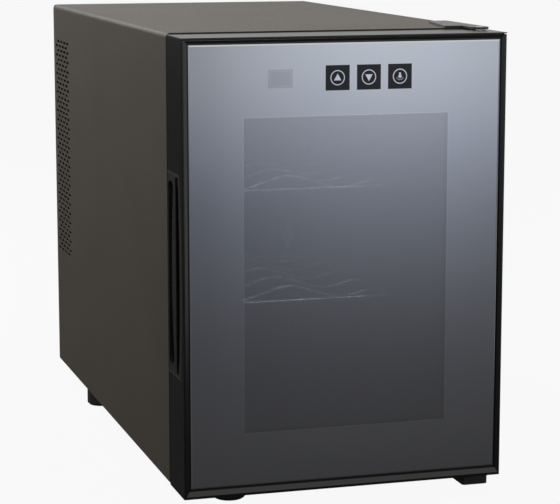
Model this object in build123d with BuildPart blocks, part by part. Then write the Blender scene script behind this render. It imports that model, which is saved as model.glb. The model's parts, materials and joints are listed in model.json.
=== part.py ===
"""Countertop wine cooler for six bottles: a steel cabinet, a glass door and a thermoelectric unit.

Millimetres, +Z up, the door faces -Y. The origin is on the floor, under the middle of the cooler.
The parts follow the order of assembly: cabinet, cooling unit, electrics, shelves, door, hinges and feet.
"""

from build123d import *
import os

os.makedirs("parts", exist_ok=True)

# ---------------------------------------------------------------- overall sizes
width = 252.0
door_depth = 46.0
door_gap = 2.0  # door to cabinet, filled by the gasket
cabinet_depth = 461.0
door_height = 343.0
cabinet_height = 343.0
door_drop = 1.1  # the door hangs this much lower than the cabinet
foot_height = 17.0  # floor to the lower edge of the door

# ---------------------------------------------------------------- shared clearances
fit = 0.1  # between parts that are fastened together
loose = 0.3  # between parts that move or that rest on each other
pin_fit = 0.05  # radial, on a hinge pin or a fan shaft

# ---------------------------------------------------------------- cabinet
sheet = 1.0  # painted steel
fold_radius = 3.5
rear_flange = 9.0
liner_wall = 2.0
cavity_width = 180.0
cavity_height = 272.0
cavity_depth = 344.0
cavity_radius = 6.0
floor_wall = 31.0  # cabinet floor to cavity floor, insulation included
rail_reach = 5.0
rail_height = 3.0
rail_setback = 12.0
rail_duct_gap = 4.0  # rails to the air duct cover
strike_sheet = 0.8
bulkhead_sheet = 1.0
cover_sheet = 1.2
cover_recess = 1.6  # rear edge of the cabinet to the rear cover, the depth of a screw head
cover_screw_inset = 5.0
cover_screw_low = 60.0  # lower edge of the rear cover to its lowest side screws
cover_screw_high = 30.0
cover_screw_reach = 60.0  # middle to the screws along the top and bottom

# side vents
vent_length = 10.0
vent_slot = 2.5
vent_row_pitch = 4.4
vent_rows = 46
vent_pitch = 15.0
vent_columns = 4
vent_top = 313.0  # above the lower edge of the door
vent_rear_margin = 10.0  # rearmost slot to the back of the cabinet

# ---------------------------------------------------------------- cooling unit
block_size = 40.0  # cold block and thermoelectric module
module_thickness = 3.8
module_clearance = 6.0  # insulation and bulkhead to the block
cold_base = 5.0
cold_fins = 12.0
cold_sink_size = 92.0
cold_fan_size = 60.0
cold_fan_depth = 10.0
duct_wall = 2.0
duct_clearance = 3.0  # cold fan to the duct front
duct_width = 150.0
duct_bottom_gap = 24.0
duct_top_gap = 14.0
hot_base = 6.0
hot_fins = 28.0
hot_sink_height = 130.0
fin_thickness = 1.5
hot_fan_size = 92.0
hot_fan_depth = 25.0
hot_fan_holes = 82.5  # square hole spacing
grille_gap = 16.2  # fan to rear cover
unit_height = 218.0  # cooling unit's axis above the lower edge of the door
fan_rim = 2.0
fan_strut = 3.0
fan_tip_gap = 1.0
blade_count = 7
blade_sheet = 1.4
blade_angle = 40
fan_shaft = 1.5  # radius

# ---------------------------------------------------------------- shelves
shelf_wire = 2.0  # radius of the frame wire
cradle_wire = 1.5  # radius of the wavy cross wires
shelf_setback = 87.0  # cabinet front to the shelf's front wire
shelf_depth = 212.0
shelf_corner = 8.0
shelf_heights = {"lower": 119.6, "upper": 210.8}  # above the lower edge of the door
bottle_pitch = 88.0
cradle_rise = 10.5  # of the corner that the hump between two bottles rounds off
cradle_count = 5
cradle_inset = 18.0  # shelf's front and rear wires to the nearest cross wire
shoulder_x = 72.0  # the cross wires rise a little beside the cradles
shoulder_rise = 3.0
cradle_drop = 3.5

# ---------------------------------------------------------------- door
side_lip = 5.0
bottom_lip = 7.5
lip_ridge = 0.3  # share of the lip from its outer edge to its ridge
lip_foot = 0.8  # share of the lip from its outer edge to the channel round the glass
lip_slope_depth = 1.0
lip_channel_depth = 2.2
front_edge_radius = 1.2
cap_thickness = 0.7  # of the cap along the door's top
cap_seam = 0.7
cap_seam_depth = 1.6
glass_recess = 0.8
glass_thickness = 4.0
glass_bevel = 1.0
glass_bevel_depth = 0.5
glass_fit = 0.3
ledge_width = 8.0
ledge_thickness = 2.0
window_width = 159.0
window_height = 236.0
window_bottom = 48.0
spacer_width = 8.0
spacer_depth = 12.0
spacer_margin = 1.0  # window to the spacer
reveal_margin = 2.0  # spacer to the panel's reveal
panel_thickness = 3.5
reveal_wall = 2.0
gasket_width = 12.0
gasket_inset = 18.0  # door edge to the gasket's outer edge
magnet_width = 8.0
magnet_depth = 2.3
hinge_edge_radius = 5.0
seal_gap = 0.3

# touch controls behind the top of the glass
key_size = 18.6
key_pitch = 24.3
key_first = -7.6  # centre of the left key
key_centre = 312.0  # above the lower edge of the door
key_count = 3
key_depth = 4.2
display_width = 19.0
display_height = 13.6
display_centre = (-51.5, 312.2)
board_thickness = 1.6

# finger grip in the free side of the door
grip_bottom = 89.5
grip_height = 153.0
grip_front = 11.2  # door front to the grip's front edge, at its ends
grip_bow = 5.9  # how far that edge bows forward at mid-height
grip_plate = 2.2
grip_depth = 14.0
grip_wall = 1.6
pocket_front = 28.0
pocket_pinch = 6.5  # how far the pocket narrows at mid-height
pocket_rear = 44.0
pocket_margin = 7.0  # above and below the pocket
scoop_depth = 1.4
scoop_rim = 2.6  # between the scoop and the grip's edge
scoop_bow = 2.7
grip_bar = 6.0  # between the scoop and the pocket
grip_screw = 1.2  # radius
grip_screw_margin = 6.0

# ---------------------------------------------------------------- hinges and feet
hinge_from_side = 10.5
hinge_from_front = 30.0
pin_radius = 3.0
pin_length = 11.0
bush_radius = 6.0
bush_flange_radius = 7.5
bush_flange = 0.8
hinge_plate = 1.6
plate_left = 94.0
plate_slant = 13.0
plate_from_side = 3.5
plate_length = 70.0
plate_corner = 3.0
hinge_screw_margin = 10.0
hinge_screw_offset = 8.0
tongue_half = 7.0
tongue_overlap = 4.0
block_front = 24.0  # door front to the lower hinge block
block_length = 60.0
block_floor_gap = 3.5
block_edge_radius = 2.5
block_screw_margin = 9.0
foot_radius = 13.0
foot_edge_radius = 3.5
foot_top_gap = 3.0  # lower edge of the door to the top of a front foot
front_foot_x = 77.0
front_foot_setback = 8.0
right_foot_x = 92.0
right_foot_setback = 62.0
rear_foot_x = 110.0
rear_foot_from_back = 124.0
stem_radius = 3.0
insert_radius = 5.5
insert_height = 12.0
screw_radius = 2.0
screw_head = 3.6
screw_head_height = 1.6
screw_grip = 8.0  # how far a screw reaches into what it holds

# ---------------------------------------------------------------- planes worked out from the sizes
total_depth = door_depth + door_gap + cabinet_depth
door_front = -total_depth / 2
door_back = door_front + door_depth
cabinet_front = door_back + door_gap
cabinet_back = total_depth / 2
door_bottom = foot_height
door_top = door_bottom + door_height
cabinet_bottom = door_bottom + door_drop
cabinet_top = cabinet_bottom + cabinet_height
mid_cabinet_z = (cabinet_bottom + cabinet_top) / 2
side = width / 2
inside = side - sheet - fit  # half the room between the cabinet sides
base_top = cabinet_bottom + sheet
ceiling = cabinet_top - sheet - fit  # underside of the cabinet's top sheet

cavity_side = cavity_width / 2
cavity_floor = cabinet_bottom + floor_wall
cavity_top = cavity_floor + cavity_height
cavity_back = cabinet_front + cavity_depth

unit_z = door_bottom + unit_height
cover_back = cabinet_back - cover_recess
cover_front = cover_back - cover_sheet
hot_fan_back = cover_front - grille_gap
hot_fan_front = hot_fan_back - hot_fan_depth
hot_base_back = hot_fan_front - hot_fins
bulkhead_back = hot_base_back - hot_base
bulkhead_front = bulkhead_back - bulkhead_sheet
liner_back = cavity_back + liner_wall

cold_base_back = cavity_back - fit
cold_base_front = cold_base_back - cold_base
cold_fin_front = cold_base_front - cold_fins
cold_fan_front = cold_fin_front - cold_fan_depth
duct_front = cold_fan_front - duct_clearance - duct_wall

glass_side = side - side_lip - glass_fit
glass_bottom = door_bottom + bottom_lip + glass_fit
glass_top = door_top - side_lip - glass_fit
glass_front = door_front + glass_recess
glass_back = glass_front + glass_thickness
pane_front = glass_back + spacer_depth
pane_back = pane_front + glass_thickness
panel_front = door_back - panel_thickness
window_side = window_width / 2
window_low = door_bottom + window_bottom
window_high = window_low + window_height

hinge_x = side - hinge_from_side
hinge_y = door_front + hinge_from_front
gasket_face = cabinet_front - seal_gap


# ---------------------------------------------------------------- helpers
def slab(x, y, z, mode=Mode.ADD):
    """A box in the current part between a low and a high limit on each axis."""
    with Locations(((x[0] + x[1]) / 2, (y[0] + y[1]) / 2, (z[0] + z[1]) / 2)):
        Box(x[1] - x[0], y[1] - y[0], z[1] - z[0], mode=mode)


def post(x, y, z, radius, mode=Mode.ADD):
    """An upright round bar in the current part, z being its two ends."""
    with Locations((x, y, (z[0] + z[1]) / 2)):
        Cylinder(radius, z[1] - z[0], mode=mode)


def axle(x, y, z, radius, mode=Mode.ADD):
    """A round bar along Y in the current part, y being its two ends."""
    with Locations((x, (y[0] + y[1]) / 2, z)):
        Cylinder(radius, y[1] - y[0], rotation=(90, 0, 0), mode=mode)


def upright(y):
    """The plane that looks at the cooler from the front: X right, Z up, extruding towards -Y."""
    return Plane.XZ.offset(-y)


def fill_cabinet(front, back, low=base_top):
    """A block in the current part that fills the cabinet's inside, rounded at its top corners."""
    with BuildSketch(upright(front)) as outline:
        with Locations((0, (low + ceiling) / 2)):
            Rectangle(2 * inside, ceiling - low)
        fillet(outline.vertices().group_by(Axis.Y)[-1], fold_radius)
    extrude(outline.sketch, amount=-(back - front))


def keep(builder, name):
    """Labels a finished piece and writes it."""
    builder.part.label = name
    export_step(builder.part, f"parts/{name}.step")


# ================================================================ cabinet
vent_last = cabinet_back - vent_rear_margin - vent_length / 2
vent_mid_z = door_bottom + vent_top - (vent_rows * vent_row_pitch) / 2

cover_low = base_top + fit
cover_screws = [(hand * (inside - cover_screw_inset), z) for hand in (-1, 1)
                for z in (cover_low + cover_screw_low, unit_z, ceiling - cover_screw_high)]
cover_screws += [(hand * cover_screw_reach, z) for hand in (-1, 1)
                 for z in (cover_low + cover_screw_inset, ceiling - cover_screw_inset)]

# countersunk screws through the upper hinge plate into the cabinet's top
plate_right = side - plate_from_side
plate_back = cabinet_front + plate_length
hinge_screws = [(hinge_x, cabinet_front + hinge_screw_margin),
                (hinge_x, plate_back - hinge_screw_margin),
                (hinge_x - hinge_screw_offset, (cabinet_front + plate_back) / 2)]

with BuildPart() as cabinet_shell:
    with BuildSketch(upright(cabinet_front)) as outer_section:
        with Locations((0, mid_cabinet_z)):
            Rectangle(width, cabinet_height)
        fillet(outer_section.vertices().group_by(Axis.Y)[-1], fold_radius)
    extrude(amount=-cabinet_depth)
    with BuildSketch(upright(cabinet_front)) as inner_section:
        with Locations((0, mid_cabinet_z - sheet)):
            Rectangle(width - 2 * sheet, cabinet_height)
        fillet(inner_section.vertices().group_by(Axis.Y)[-1], fold_radius - sheet)
    extrude(amount=-cabinet_depth, mode=Mode.SUBTRACT)
    # the rear edge is folded inwards, to take the cover's screws
    with BuildSketch(upright(cover_front - fit - sheet)):
        with Locations((0, mid_cabinet_z)):
            Rectangle(width - sheet, cabinet_height - sheet)
        with Locations((0, mid_cabinet_z - rear_flange)):
            Rectangle(width - 2 * rear_flange, cabinet_height, mode=Mode.SUBTRACT)
    extrude(amount=-sheet)
    slab((-inside - fit, inside + fit), (cabinet_front, cabinet_back),
         (cabinet_bottom - 1, base_top + fit), Mode.SUBTRACT)
    for screw_x, screw_z in cover_screws:
        axle(screw_x, (cover_front - 2 * sheet, cabinet_back), screw_z, screw_radius, Mode.SUBTRACT)
    for screw_x, screw_y in hinge_screws:
        post(screw_x, screw_y, (ceiling - 1, cabinet_top + 1), screw_radius, Mode.SUBTRACT)
    # staggered vent slots in both sides, beside the machine bay
    with BuildSketch(Plane.YZ):
        for row in range(vent_rows):
            shift = vent_pitch / 2 if row % 2 else 0
            row_z = vent_mid_z + (row - (vent_rows - 1) / 2) * vent_row_pitch
            for column in range(vent_columns):
                with Locations((vent_last - shift - column * vent_pitch, row_z)):
                    SlotOverall(vent_length, vent_slot)
    extrude(amount=side + sheet, both=True, mode=Mode.SUBTRACT)
keep(cabinet_shell, "cabinet_shell")

front_feet = {
    "front_foot_left": (-front_foot_x, cabinet_front + front_foot_setback),
    "front_foot_right": (right_foot_x, cabinet_front + right_foot_setback),
}
rear_feet = {
    "rear_foot_left": (-rear_foot_x, cabinet_back - rear_foot_from_back),
    "rear_foot_right": (rear_foot_x, cabinet_back - rear_foot_from_back),
}
block_y = (door_front + block_front, door_front + block_front + block_length)
block_left = hinge_x - hinge_from_side
block_screw_y = [cabinet_front + block_screw_margin, block_y[1] - block_screw_margin]
base_screws = [(hinge_x, screw_y) for screw_y in block_screw_y] + list(rear_feet.values())

with BuildPart() as base_plate:
    slab((-inside, inside), (cabinet_front, cover_front - fit), (cabinet_bottom, base_top))
    # rear lip for the cover's lower screws
    slab((-inside + rear_flange, inside - rear_flange),
         (cover_front - fit - sheet, cover_front - fit), (base_top, base_top + rear_flange))
    for foot_x, foot_y in front_feet.values():
        post(foot_x, foot_y, (cabinet_bottom - 1, base_top + 1), stem_radius + 1, Mode.SUBTRACT)
    for screw_x, screw_y in base_screws:
        post(screw_x, screw_y, (cabinet_bottom - 1, base_top + 1), screw_radius, Mode.SUBTRACT)
    for screw_x, screw_z in cover_screws:
        axle(screw_x, (cover_front - 2 * sheet, cabinet_back), screw_z, screw_radius, Mode.SUBTRACT)
keep(base_plate, "base_plate")

# the steel ring that the door's magnets pull on lies behind the liner's front flange
flange_back = cabinet_front + liner_wall
strike_back = flange_back + strike_sheet
strike_outer = side - gasket_inset
strike_low = door_bottom + gasket_inset
strike_high = door_top - gasket_inset

with BuildPart() as strike_frame:
    slab((-strike_outer, strike_outer), (flange_back, strike_back), (strike_low, strike_high))
    slab((-strike_outer + gasket_width, strike_outer - gasket_width),
         (flange_back - 1, strike_back + 1),
         (strike_low + gasket_width, strike_high - gasket_width), Mode.SUBTRACT)
keep(strike_frame, "strike_frame")

module_hole = block_size / 2 + module_clearance

with BuildPart() as cabinet_foam:
    fill_cabinet(flange_back, bulkhead_front)
    slab((-cavity_side - liner_wall, cavity_side + liner_wall), (flange_back - 1, liner_back),
         (cavity_floor - liner_wall, cavity_top + liner_wall), Mode.SUBTRACT)
    slab((-strike_outer, strike_outer), (flange_back - 1, strike_back),
         (strike_low, strike_high), Mode.SUBTRACT)
    slab((-block_size / 2, block_size / 2), (liner_back - 1, bulkhead_front + 1),
         (unit_z - block_size / 2, unit_z + block_size / 2), Mode.SUBTRACT)
    for foot_x, foot_y in front_feet.values():
        post(foot_x, foot_y, (base_top - 1, base_top + insert_height), insert_radius, Mode.SUBTRACT)
    for screw_x, screw_y in base_screws:
        post(screw_x, screw_y, (base_top - 1, base_top + screw_grip), screw_radius, Mode.SUBTRACT)
    for screw_x, screw_y in hinge_screws:
        post(screw_x, screw_y, (ceiling - screw_grip, ceiling + 1), screw_radius, Mode.SUBTRACT)
keep(cabinet_foam, "cabinet_foam")

rail_y = (cabinet_front + rail_setback, duct_front - rail_duct_gap)
shelf_z = {name: door_bottom + height for name, height in shelf_heights.items()}

with BuildPart() as inner_liner:
    # tub
    slab((-cavity_side - liner_wall, cavity_side + liner_wall), (cabinet_front, liner_back),
         (cavity_floor - liner_wall, cavity_top + liner_wall))
    # front flange, out to the cabinet's sides
    fill_cabinet(cabinet_front, flange_back)
    with BuildSketch(upright(cabinet_front)) as cavity_outline:
        with Locations((0, (cavity_floor + cavity_top) / 2)):
            Rectangle(cavity_width, cavity_height)
        fillet(cavity_outline.vertices(), cavity_radius)
    extrude(amount=-cavity_depth, mode=Mode.SUBTRACT)
    slab((-block_size / 2, block_size / 2), (cavity_back - 1, liner_back + 1),
         (unit_z - block_size / 2, unit_z + block_size / 2), Mode.SUBTRACT)
    # a pair of rails on each side carries each shelf
    for height in shelf_z.values():
        for hand in (-1, 1):
            rail_x = sorted((hand * (cavity_side - rail_reach), hand * (cavity_side + liner_wall / 2)))
            low = height - shelf_wire - loose
            high = height + shelf_wire + loose
            slab(rail_x, rail_y, (low - rail_height, low))
            slab(rail_x, rail_y, (high, high + rail_height))
keep(inner_liner, "inner_liner")

with BuildPart() as bulkhead:
    fill_cabinet(bulkhead_front, bulkhead_back)
    slab((-module_hole, module_hole), (bulkhead_front - 1, bulkhead_back + 1),
         (unit_z - module_hole, unit_z + module_hole), Mode.SUBTRACT)
keep(bulkhead, "bulkhead")

# ---------------------------------------------------------------- rear cover
inlet_x = 78.0
inlet_z = cabinet_bottom + 44
inlet_width = 28.0
inlet_height = 20.5
grille_pitch = 7.0
grille_bar = 3.0
grille_rings = 6
grille_hub = 9.0
grille_spoke = 4.0
intake_x = -20.0
intake_length = 110.0
intake_slot = 3.0
intake_pitch = 8.0
intake_rows = 7

with BuildPart() as rear_cover:
    fill_cabinet(cover_front, cover_back, cover_low)
    # ring slots in front of the exhaust fan, between four spokes
    with BuildSketch(upright(cover_front - 1)):
        with Locations((0, unit_z)):
            for ring in reversed(range(grille_rings)):
                ring_inner = grille_hub + ring * grille_pitch
                Circle(ring_inner + grille_pitch - grille_bar)
                Circle(ring_inner, mode=Mode.SUBTRACT)
            Rectangle(grille_spoke, 2 * hot_fan_size, rotation=45, mode=Mode.SUBTRACT)
            Rectangle(grille_spoke, 2 * hot_fan_size, rotation=-45, mode=Mode.SUBTRACT)
    extrude(amount=-cover_sheet - 2, mode=Mode.SUBTRACT)
    # intake slots low down
    with BuildSketch(upright(cover_front - 1)):
        with Locations((intake_x, inlet_z)):
            with GridLocations(0, intake_pitch, 1, intake_rows):
                SlotOverall(intake_length, intake_slot)
        with Locations((inlet_x, inlet_z)):
            Rectangle(inlet_width, inlet_height)
        for screw_x, screw_z in cover_screws:
            with Locations((screw_x, screw_z)):
                Circle(screw_radius)
    extrude(amount=-cover_sheet - 2, mode=Mode.SUBTRACT)
keep(rear_cover, "rear_cover")

with BuildPart() as cover_screw_set:
    for screw_x, screw_z in cover_screws:
        axle(screw_x, (cover_front - screw_grip, cover_back), screw_z, screw_radius)
        axle(screw_x, (cover_back, cover_back + screw_head_height), screw_z, screw_head)
keep(cover_screw_set, "rear_cover_screws")

# ================================================================ cooling unit
fin_gaps_to_hole = 6.5  # from the sink's middle to a fan screw, which drops between two fins
hot_fin_pitch = hot_fan_holes / 2 / fin_gaps_to_hole
hot_fin_count = 19
cold_fan_holes = 50.0
cold_fin_gaps = 3.5
cold_fin_pitch = cold_fan_holes / 2 / cold_fin_gaps
cold_fin_count = 13
cold_fin_thickness = 1.2
fan_screw = 1.8


def finned_sink(base_y, fin_y, base_width, height, pitch, count, thickness):
    """A base plate with upright fins on it, centred on the cooling unit's axis."""
    with BuildPart() as sink:
        slab((-base_width / 2, base_width / 2), base_y, (unit_z - height / 2, unit_z + height / 2))
        for number in range(count):
            fin_x = (number - (count - 1) / 2) * pitch
            slab((fin_x - thickness / 2, fin_x + thickness / 2), fin_y,
                 (unit_z - height / 2, unit_z + height / 2))
    return sink


def fan_frame(size, y, holes):
    """A square fan frame; its motor hub and four struts are on the +Y side."""
    with BuildPart() as frame_part:
        with BuildSketch(upright(y[0])):
            with Locations((0, unit_z)):
                RectangleRounded(size, size, size / 20)
                Circle(size / 2 - fan_rim, mode=Mode.SUBTRACT)
                with GridLocations(holes, holes, 2, 2):
                    Circle(fan_screw, mode=Mode.SUBTRACT)
        extrude(amount=-(y[1] - y[0]))
        with BuildSketch(upright(y[1] - fan_strut)):
            with Locations((0, unit_z)):
                Rectangle(fan_strut, size - fan_rim)
                Rectangle(size - fan_rim, fan_strut)
                Circle(size / 5)
                Circle(fan_shaft + pin_fit, mode=Mode.SUBTRACT)
        extrude(amount=-fan_strut)
    return frame_part


def fan_rotor(size, y):
    """Hub, pitched blades and the shaft that turns in the frame's hub."""
    hub_y = (y[0] + loose, y[1] - fan_strut - loose)
    hub_radius = size / 5
    tip_radius = size / 2 - fan_rim - fan_tip_gap
    chord = (hub_y[1] - hub_y[0]) * 0.75
    blade_reach = tip_radius - hub_radius
    with BuildPart() as rotor:
        axle(0, hub_y, unit_z, hub_radius)
        axle(0, (hub_y[1] - 1, y[1] - fan_strut / 2), unit_z, fan_shaft)
        with Locations(Location((0, sum(hub_y) / 2, unit_z), (90, 0, 0))):
            with PolarLocations(hub_radius + blade_reach / 2 - 1, blade_count):
                Box(blade_reach, blade_sheet, chord, rotation=(blade_angle, 0, 0))
    return rotor


hot_sink = finned_sink((bulkhead_back, hot_base_back), (hot_base_back, hot_fan_front),
                       hot_fin_pitch * hot_fin_count, hot_sink_height,
                       hot_fin_pitch, hot_fin_count, fin_thickness)
keep(hot_sink, "hot_heat_sink")
cold_sink = finned_sink((cold_base_front, cold_base_back), (cold_fin_front, cold_base_front),
                        cold_sink_size, cold_sink_size,
                        cold_fin_pitch, cold_fin_count, cold_fin_thickness)
keep(cold_sink, "cold_heat_sink")

module_front = bulkhead_back - module_thickness
half_block = block_size / 2
pellet = 2.0
pellet_pitch = 4.4
pellet_rows = 8

with BuildPart() as cold_block:
    slab((-half_block + fit, half_block - fit), (cold_base_back, module_front),
         (unit_z - half_block + fit, unit_z + half_block - fit))
keep(cold_block, "cold_block")

with BuildPart() as module:
    plate_depth = module_thickness / 4
    slab((-half_block + fit, half_block - fit), (module_front, module_front + plate_depth),
         (unit_z - half_block + fit, unit_z + half_block - fit))
    slab((-half_block + fit, half_block - fit), (bulkhead_back - plate_depth, bulkhead_back),
         (unit_z - half_block + fit, unit_z + half_block - fit))
    with Locations((0, (module_front + bulkhead_back) / 2, unit_z)):
        with Locations(Location((0, 0, 0), (90, 0, 0))):
            with GridLocations(pellet_pitch, pellet_pitch, pellet_rows, pellet_rows):
                Box(pellet, pellet, module_thickness - 2 * plate_depth)
keep(module, "thermoelectric_module")

exhaust_fan_frame = fan_frame(hot_fan_size, (hot_fan_front, hot_fan_back), hot_fan_holes)
keep(exhaust_fan_frame, "exhaust_fan_frame")
exhaust_fan_rotor = fan_rotor(hot_fan_size, (hot_fan_front, hot_fan_back))
keep(exhaust_fan_rotor, "exhaust_fan_rotor")
cold_fan_frame = fan_frame(cold_fan_size, (cold_fan_front, cold_fin_front), cold_fan_holes)
keep(cold_fan_frame, "cold_fan_frame")
cold_fan_rotor = fan_rotor(cold_fan_size, (cold_fan_front, cold_fin_front))
keep(cold_fan_rotor, "cold_fan_rotor")

# each fan screw's end and head: y of the tip, of the head's seat and of the head's outer face
fan_screw_sets = (
    (hot_fan_holes / 2, hot_fan_front - screw_grip, hot_fan_back, hot_fan_back + screw_head_height),
    (cold_fan_holes / 2, cold_fin_front + screw_grip, cold_fan_front, cold_fan_front - screw_head_height),
)

with BuildPart() as fan_screws:
    for reach, tip, seat, head in fan_screw_sets:
        for screw_x in (-reach, reach):
            for screw_z in (unit_z - reach, unit_z + reach):
                axle(screw_x, sorted((tip, seat)), screw_z, fan_screw)
                axle(screw_x, sorted((seat, head)), screw_z, screw_head)
keep(fan_screws, "fan_screws")

# the duct cover spreads the cold air over the back of the cavity
duct_low = cavity_floor + duct_bottom_gap
duct_high = cavity_top - duct_top_gap
duct_side = duct_width / 2
duct_outlet_rows = 4
duct_outlet_pitch = 7.0
duct_outlet_height = 3.0
duct_outlet_margin = 20.0
duct_ring_pitch = 6.0
duct_rings = 4
duct_hub = 4.0
duct_spoke = 3.0

with BuildPart() as air_duct_cover:
    with BuildSketch(upright(duct_front)) as duct_outline:
        with Locations((0, (duct_low + duct_high) / 2)):
            Rectangle(2 * duct_side, duct_high - duct_low)
        fillet(duct_outline.vertices(), cavity_radius)
    extrude(amount=-(cavity_back - duct_front))
    fillet(air_duct_cover.faces().sort_by(Axis.Y)[0].edges(), duct_wall * 0.9)
    slab((-duct_side + duct_wall, duct_side - duct_wall), (duct_front + duct_wall, cavity_back + 1),
         (duct_low + duct_wall, duct_high - duct_wall), Mode.SUBTRACT)
    with BuildSketch(upright(duct_front - 1)):
        for outlet_z in (duct_high - duct_outlet_margin, duct_low + duct_outlet_margin):
            with Locations((0, outlet_z)):
                with GridLocations(0, duct_outlet_pitch, 1, duct_outlet_rows):
                    SlotOverall(duct_width - 2 * duct_outlet_margin, duct_outlet_height)
        with Locations((0, unit_z)):
            for ring in reversed(range(duct_rings)):
                ring_inner = duct_hub + ring * duct_ring_pitch
                Circle(ring_inner + duct_outlet_height)
                Circle(ring_inner, mode=Mode.SUBTRACT)
            Rectangle(duct_spoke, cold_fan_size, rotation=45, mode=Mode.SUBTRACT)
            Rectangle(duct_spoke, cold_fan_size, rotation=-45, mode=Mode.SUBTRACT)
    extrude(amount=-duct_wall - 2, mode=Mode.SUBTRACT)
keep(air_duct_cover, "air_duct_cover")

sensor_inset = 14.0
sensor_radius = 3.0
sensor_half = 12.0
sensor_reach = 5.0  # duct cover to the sensor's axis
clip_half = 5.0
sensor_x = duct_side - sensor_inset
sensor_z = (duct_low + unit_z) / 2

with BuildPart() as temperature_sensor:
    post(sensor_x, duct_front - sensor_reach, (sensor_z - sensor_half, sensor_z + sensor_half),
         sensor_radius)
    fillet(temperature_sensor.edges().filter_by(GeomType.CIRCLE), sensor_radius * 0.66)
    slab((sensor_x - clip_half, sensor_x + clip_half), (duct_front - sensor_reach, duct_front),
         (sensor_z - clip_half, sensor_z + clip_half))
keep(temperature_sensor, "temperature_sensor")

# ================================================================ electrics
board_width = 120.0
board_height = 84.0
board_mid_x = -15.0
board_low = base_top + 14
board_standoff = 8.0
board_front = bulkhead_back + board_standoff
board_back = board_front + board_thickness
board_mid_z = board_low + board_height / 2
board_hole_inset = 5.0
board_holes = [(board_mid_x + x * (board_width / 2 - board_hole_inset),
                board_mid_z + z * (board_height / 2 - board_hole_inset))
               for x in (-1, 1) for z in (-1, 1)]
board_screw = 1.25
board_screw_grip = 5.0
board_screw_head = 2.5
board_screw_head_height = 1.4
standoff_radius = 3.0

with BuildPart() as board_standoffs:
    for hole_x, hole_z in board_holes:
        axle(hole_x, (bulkhead_back, board_front), hole_z, standoff_radius)
        axle(hole_x, (board_front - board_screw_grip, board_front + 1), hole_z, board_screw,
             Mode.SUBTRACT)
keep(board_standoffs, "board_standoffs")

with BuildPart() as power_board:
    slab((board_mid_x - board_width / 2, board_mid_x + board_width / 2), (board_front, board_back),
         (board_low, board_low + board_height))
    for hole_x, hole_z in board_holes:
        axle(hole_x, (board_front - 1, board_back + 1), hole_z, board_screw, Mode.SUBTRACT)
keep(power_board, "power_board")

with BuildPart() as board_screws:
    for hole_x, hole_z in board_holes:
        axle(hole_x, (board_front - board_screw_grip, board_back), hole_z, board_screw)
        axle(hole_x, (board_back, board_back + board_screw_head_height), hole_z, board_screw_head)
keep(board_screws, "board_screws")

core_x = (board_mid_x - 16, board_mid_x + 18)
core_z = (board_mid_z - 14, board_mid_z + 16)
core_depth = 26.0
winding_inset = 6.0
winding_depth = 3.0

with BuildPart() as power_transformer:
    slab(core_x, (board_back, board_back + core_depth), core_z)
    slab((core_x[0] + winding_inset, core_x[1] - winding_inset),
         (board_back + core_depth, board_back + core_depth + winding_depth), core_z)
keep(power_transformer, "power_transformer")

# place from the middle of the board, radius and length
capacitors = (
    (-42, 20, 9, 28),
    (-42, -4, 9, 28),
    (44, 24, 5, 20),
    (44, 10, 5, 20),
    (32, 24, 4, 14),
)

with BuildPart() as power_capacitors:
    for cap_x, cap_z, cap_radius, cap_length in capacitors:
        axle(board_mid_x + cap_x, (board_back, board_back + cap_length), board_mid_z + cap_z, cap_radius)
keep(power_capacitors, "power_capacitors")

comb_x = (board_mid_x - 24, board_mid_x + 30)
comb_top = core_z[0] - 10
comb_plate = 3.0
comb_depth = 24.0
comb_tooth = 2.0
comb_tooth_height = 6.0
comb_pitch = 9.0
comb_teeth = 6

with BuildPart() as transistor_heat_sink:
    slab(comb_x, (board_back, board_back + comb_depth), (comb_top - comb_plate, comb_top))
    for tooth in range(comb_teeth):
        tooth_x = sum(comb_x) / 2 + (tooth - (comb_teeth - 1) / 2) * comb_pitch
        slab((tooth_x - comb_tooth / 2, tooth_x + comb_tooth / 2), (board_back, board_back + comb_depth),
             (comb_top - comb_plate - comb_tooth_height, comb_top - comb_plate))
keep(transistor_heat_sink, "transistor_heat_sink")

inlet_depth = 20.0
inlet_wall = 1.8
inlet_mouth = 5.0  # mouth of the socket to the tips of its blades
inlet_flange = 3.0
inlet_flange_depth = 2.0
blade = (2.0, 4.0)  # width and height
blade_places = ((-7.0, -1.5), (0.0, 2.5), (7.0, -1.5))

with BuildPart() as power_inlet:
    slab((inlet_x - inlet_width / 2 + fit, inlet_x + inlet_width / 2 - fit),
         (cabinet_back - inlet_depth, cabinet_back),
         (inlet_z - inlet_height / 2 + fit, inlet_z + inlet_height / 2 - fit))
    slab((inlet_x - inlet_width / 2 - inlet_flange, inlet_x + inlet_width / 2 + inlet_flange),
         (cover_front - inlet_flange_depth, cover_front),
         (inlet_z - inlet_height / 2 - inlet_flange, inlet_z + inlet_height / 2 + inlet_flange))
    slab((inlet_x - inlet_width / 2 + inlet_wall, inlet_x + inlet_width / 2 - inlet_wall),
         (cabinet_back - inlet_depth + inlet_wall, cabinet_back + 1),
         (inlet_z - inlet_height / 2 + inlet_wall, inlet_z + inlet_height / 2 - inlet_wall),
         Mode.SUBTRACT)
keep(power_inlet, "power_inlet")

with BuildPart() as inlet_blades:
    for blade_x, blade_z in blade_places:
        slab((inlet_x + blade_x - blade[0] / 2, inlet_x + blade_x + blade[0] / 2),
             (cabinet_back - inlet_depth + inlet_wall, cabinet_back - inlet_mouth),
             (inlet_z + blade_z - blade[1] / 2, inlet_z + blade_z + blade[1] / 2))
keep(inlet_blades, "inlet_blades")

lamp_half = 45.0
lamp_width = 16.0
lamp_depth = 6.0
lamp_wall = 1.5
lamp_setback = 46.0
lamp_y = cabinet_front + lamp_setback
lamp_board_margin = 3.0
lamp_board_sheet = 1.0
led = (3.5, 3.0, 1.0)
led_pitch = 14.0
led_count = 6

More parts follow.
